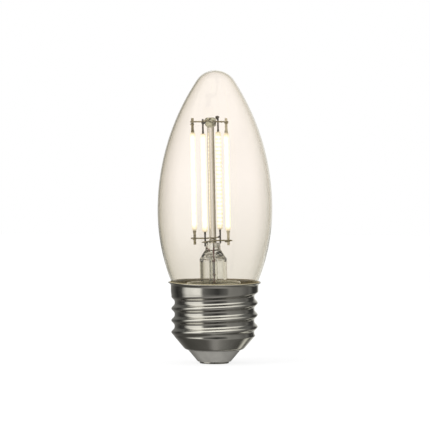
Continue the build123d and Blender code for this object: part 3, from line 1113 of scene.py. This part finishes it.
def mirrored_room(tree, around, up):
    """What bare metal mirrors: a dark room with soft panels, a dim ground, a bright panel overhead."""
    room = ramp_colour(tree, around, ROOM_STOPS)
    ground = ramp_colour(tree, around, GROUND_STOPS)
    overhead = ramp_colour(tree, around, OVERHEAD_STOPS)
    low = share_between(tree, up, *GROUND_SPAN, interpolation="SMOOTHSTEP")
    top = share_between(tree, up, *OVERHEAD_SPAN, interpolation="SMOOTHSTEP")
    return mix_colours(tree, top, mix_colours(tree, low, room, ground), overhead)


def beyond_glass(tree, around, up):
    """What shows through glass: white behind the lamp, a dark screen behind its left, dimmer above."""
    beyond = ramp_colour(tree, around, BEYOND_STOPS)
    above = share_between(tree, up, *ABOVE_SPAN, interpolation="SMOOTHSTEP")
    below = share_between(tree, up, *BELOW_SPAN, interpolation="SMOOTHSTEP")
    return mix_colours(tree, below, mix_colours(tree, above, beyond, ABOVE_GLASS), BELOW_GLASS)


def studio_world():
    """White for the camera and as plain light, with its own surround for mirrors and for glass."""
    world = bpy.data.worlds.new("studio")
    world.use_nodes = True
    tree = world.node_tree
    tree.nodes.clear()
    out = tree.nodes.new("ShaderNodeOutputWorld")
    light = tree.nodes.new("ShaderNodeBackground")
    place = tree.nodes.new("ShaderNodeTexCoord")
    split = tree.nodes.new("ShaderNodeSeparateXYZ")
    link(tree, place.outputs["Generated"], split.inputs[0])
    across, along, up = split.outputs
    turned = math_node(tree, "ARCTAN2", across, math_node(tree, "MULTIPLY", along, -1.0))
    around = math_node(tree, "MULTIPLY_ADD", turned, 0.5 / math.pi, 0.5)
    path = tree.nodes.new("ShaderNodeLightPath")
    seen = mix_colours(tree, path.outputs["Is Glossy Ray"], SURROUND, mirrored_room(tree, around, up))
    seen = mix_colours(tree, path.outputs["Is Transmission Ray"], seen, beyond_glass(tree, around, up))
    seen = mix_colours(tree, path.outputs["Is Camera Ray"], seen, BACKDROP)
    link(tree, seen, light.inputs["Color"])
    link(tree, light.outputs[0], out.inputs["Surface"])
    bpy.context.scene.world = world


def floor():
    """Pale floor under the lamp. It takes the lamp's shadow and stays out of its reflections."""
    half = 0.6
    corners = [(-half, -half, 0), (half, -half, 0), (half, half, 0), (-half, half, 0)]
    mesh = bpy.data.meshes.new("floor")
    mesh.from_pydata(corners, [], [(0, 1, 2, 3)])
    made = bpy.data.objects.new("floor", mesh)
    bpy.context.scene.collection.objects.link(made)
    pale, tree, out = new_material("pale_floor")
    tone = use_mottle(tree, dark=(0.20, 0.20, 0.20), light=(0.22, 0.22, 0.22), scale=20.0)
    matt = {"Roughness": 0.9, "Specular IOR Level": 0.0}
    glow = {"Emission Color": (1, 1, 1, 1), "Emission Strength": 0.8}
    shader = add_node(tree, "ShaderNodeBsdfPrincipled", {**matt, **glow})
    link(tree, tone.outputs["Color"], shader.inputs["Base Color"])
    link(tree, shader.outputs[0], out.inputs["Surface"])
    mesh.materials.append(pale)
    made.visible_glossy = False
    made.visible_transmission = False


def soft_light(name, place, size, power):
    """A square area lamp that faces the lamp's middle."""
    data = bpy.data.lights.new(name, "AREA")
    data.size = size
    data.energy = power
    made = bpy.data.objects.new(name, data)
    made.location = place
    aim = LAMP_MIDDLE - made.location
    made.rotation_euler = aim.to_track_quat("-Z", "Y").to_euler()
    made.visible_glossy = False
    made.visible_transmission = False
    made.visible_camera = False
    bpy.context.scene.collection.objects.link(made)


def camera():
    """Long lens, a little above the lamp's middle, as in the photo."""
    distance = 3.0
    width = 0.13085
    rise = math.radians(3.6)
    roll = math.radians(0.24)
    middle = Vector((0.00002, 0.0, 0.0452))
    data = bpy.data.cameras.new("photo_camera")
    data.sensor_width = 36.0
    data.lens = data.sensor_width * distance / width
    data.clip_start = 0.05
    data.clip_end = 20.0
    made = bpy.data.objects.new("photo_camera", data)
    made.location = middle + distance * Vector((0.0, -math.cos(rise), math.sin(rise)))
    facing = (middle - made.location).to_track_quat("-Z", "Y")
    made.rotation_euler = (facing @ Quaternion((0.0, 0.0, 1.0), roll)).to_euler()
    bpy.context.scene.collection.objects.link(made)
    bpy.context.scene.camera = made


studio_world()
floor()
soft_light("left_panel", place=(-0.5, -0.45, 0.35), size=0.4, power=2.0)
camera()
scene = bpy.context.scene
scene.view_settings.view_transform = "Standard"
scene.cycles.max_bounces = 24
scene.cycles.transmission_bounces = 20
scene.cycles.glossy_bounces = 8
scene.cycles.transparent_max_bounces = 24
